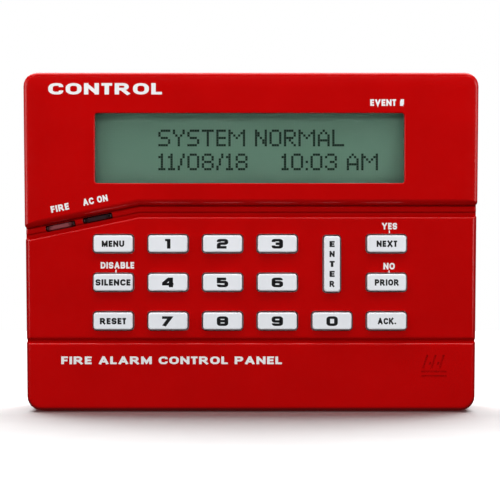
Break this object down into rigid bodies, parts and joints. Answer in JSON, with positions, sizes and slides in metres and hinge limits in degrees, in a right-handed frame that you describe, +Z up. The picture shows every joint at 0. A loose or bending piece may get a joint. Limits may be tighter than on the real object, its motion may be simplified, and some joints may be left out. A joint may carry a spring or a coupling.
{
  "type": "fire alarm control panel",
  "caption": "Wall-mounted fire alarm keypad: red plastic case with a character display, light grey push keys and status lights, hung on a back plate.",
  "frame": {"origin": "middle of the back plate's wall face", "axes": "+Z up, +Y into the wall, the front faces -Y, +X to the right seen from the front"},
  "size_m": [0.1606, 0.029, 0.1193],
  "materials": {
    "red_case": "semi-gloss moulded red ABS with a very fine texture",
    "plate_plastic": "matte moulded black ABS",
    "clear_window": "clear polished acrylic",
    "bezel_metal": "satin black folded steel",
    "lcd_glass": "grey-green reflective display with a satin polariser",
    "backlight": "milky light guide",
    "circuit_board": "green solder mask",
    "black_plastic": "black moulding compound",
    "silicone": "matte translucent grey silicone",
    "light_rose": "rose-tinted light bar, unlit",
    "light_dark": "dark tinted light bar, unlit",
    "led_body": "surface-mounted lamp body",
    "tin": "zinc-plated and tinned metal",
    "can_sleeve": "shrunk plastic sleeve",
    "terminal_plastic": "green moulded polyamide",
    "key_plastic": "light grey moulded keys with a satin face"
  },
  "bodies": {
    "back_plate": {"back_plate": "plate_plastic"},
    "front_case": {"front_housing": "red_case", "display_window": "clear_window", "lcd_bezel": "bezel_metal", "lcd_glass": "lcd_glass", "lcd_backlight": "backlight", "lcd_board": "circuit_board", "lcd_header": "black_plastic", "keypad_mat": "silicone", "main_board": "circuit_board", "fire_light_pipe": "light_rose", "power_light_pipe": "light_dark", "fire_led": "led_body", "power_led": "led_body", "sounder": "black_plastic", "microcontroller": "black_plastic", "crystal": "tin", "voltage_regulator": "black_plastic", "capacitor_1": "can_sleeve", "capacitor_2": "can_sleeve", "terminal_block": "terminal_plastic", "address_header": "black_plastic", "lcd_screw_1": "tin", "lcd_screw_2": "tin", "lcd_screw_3": "tin", "lcd_screw_4": "tin", "board_screw_1": "tin", "board_screw_2": "tin", "board_screw_3": "tin", "board_screw_4": "tin", "board_screw_5": "tin", "board_screw_6": "tin"},
    "key_0": {"key_0": "key_plastic"},
    "key_1": {"key_1": "key_plastic"},
    "key_2": {"key_2": "key_plastic"},
    "key_3": {"key_3": "key_plastic"},
    "key_4": {"key_4": "key_plastic"},
    "key_5": {"key_5": "key_plastic"},
    "key_6": {"key_6": "key_plastic"},
    "key_7": {"key_7": "key_plastic"},
    "key_8": {"key_8": "key_plastic"},
    "key_9": {"key_9": "key_plastic"},
    "key_menu": {"key_menu": "key_plastic"},
    "key_silence": {"key_silence": "key_plastic"},
    "key_reset": {"key_reset": "key_plastic"},
    "key_enter": {"key_enter": "key_plastic"},
    "key_next": {"key_next": "key_plastic"},
    "key_prior": {"key_prior": "key_plastic"},
    "key_ack": {"key_ack": "key_plastic"}
  },
  "joints": [
    {"name": "case_hinge", "type": "hinge", "parent": "back_plate", "child": "front_case", "pos_m": [0, -0.0035, 0.0566], "axis": [-1, 0, 0], "range_deg": [0, 45]},
    {"name": "key_0_press", "type": "slide", "parent": "front_case", "child": "key_0", "axis": [0, 1, 0], "range_m": [0, 0.0012], "stiffness_N_per_m": 900, "deforming": ["keypad_mat"]},
    {"name": "key_1_press", "type": "slide", "parent": "front_case", "child": "key_1", "axis": [0, 1, 0], "range_m": [0, 0.0012], "stiffness_N_per_m": 900, "deforming": ["keypad_mat"]},
    {"name": "key_2_press", "type": "slide", "parent": "front_case", "child": "key_2", "axis": [0, 1, 0], "range_m": [0, 0.0012], "stiffness_N_per_m": 900, "deforming": ["keypad_mat"]},
    {"name": "key_3_press", "type": "slide", "parent": "front_case", "child": "key_3", "axis": [0, 1, 0], "range_m": [0, 0.0012], "stiffness_N_per_m": 900, "deforming": ["keypad_mat"]},
    {"name": "key_4_press", "type": "slide", "parent": "front_case", "child": "key_4", "axis": [0, 1, 0], "range_m": [0, 0.0012], "stiffness_N_per_m": 900, "deforming": ["keypad_mat"]},
    {"name": "key_5_press", "type": "slide", "parent": "front_case", "child": "key_5", "axis": [0, 1, 0], "range_m": [0, 0.0012], "stiffness_N_per_m": 900, "deforming": ["keypad_mat"]},
    {"name": "key_6_press", "type": "slide", "parent": "front_case", "child": "key_6", "axis": [0, 1, 0], "range_m": [0, 0.0012], "stiffness_N_per_m": 900, "deforming": ["keypad_mat"]},
    {"name": "key_7_press", "type": "slide", "parent": "front_case", "child": "key_7", "axis": [0, 1, 0], "range_m": [0, 0.0012], "stiffness_N_per_m": 900, "deforming": ["keypad_mat"]},
    {"name": "key_8_press", "type": "slide", "parent": "front_case", "child": "key_8", "axis": [0, 1, 0], "range_m": [0, 0.0012], "stiffness_N_per_m": 900, "deforming": ["keypad_mat"]},
    {"name": "key_9_press", "type": "slide", "parent": "front_case", "child": "key_9", "axis": [0, 1, 0], "range_m": [0, 0.0012], "stiffness_N_per_m": 900, "deforming": ["keypad_mat"]},
    {"name": "key_menu_press", "type": "slide", "parent": "front_case", "child": "key_menu", "axis": [0, 1, 0], "range_m": [0, 0.0012], "stiffness_N_per_m": 900, "deforming": ["keypad_mat"]},
    {"name": "key_silence_press", "type": "slide", "parent": "front_case", "child": "key_silence", "axis": [0, 1, 0], "range_m": [0, 0.0012], "stiffness_N_per_m": 900, "deforming": ["keypad_mat"]},
    {"name": "key_reset_press", "type": "slide", "parent": "front_case", "child": "key_reset", "axis": [0, 1, 0], "range_m": [0, 0.0012], "stiffness_N_per_m": 900, "deforming": ["keypad_mat"]},
    {"name": "key_enter_press", "type": "slide", "parent": "front_case", "child": "key_enter", "axis": [0, 1, 0], "range_m": [0, 0.0012], "stiffness_N_per_m": 900, "deforming": ["keypad_mat"]},
    {"name": "key_next_press", "type": "slide", "parent": "front_case", "child": "key_next", "axis": [0, 1, 0], "range_m": [0, 0.0012], "stiffness_N_per_m": 900, "deforming": ["keypad_mat"]},
    {"name": "key_prior_press", "type": "slide", "parent": "front_case", "child": "key_prior", "axis": [0, 1, 0], "range_m": [0, 0.0012], "stiffness_N_per_m": 900, "deforming": ["keypad_mat"]},
    {"name": "key_ack_press", "type": "slide", "parent": "front_case", "child": "key_ack", "axis": [0, 1, 0], "range_m": [0, 0.0012], "stiffness_N_per_m": 900, "deforming": ["keypad_mat"]}
  ]
}
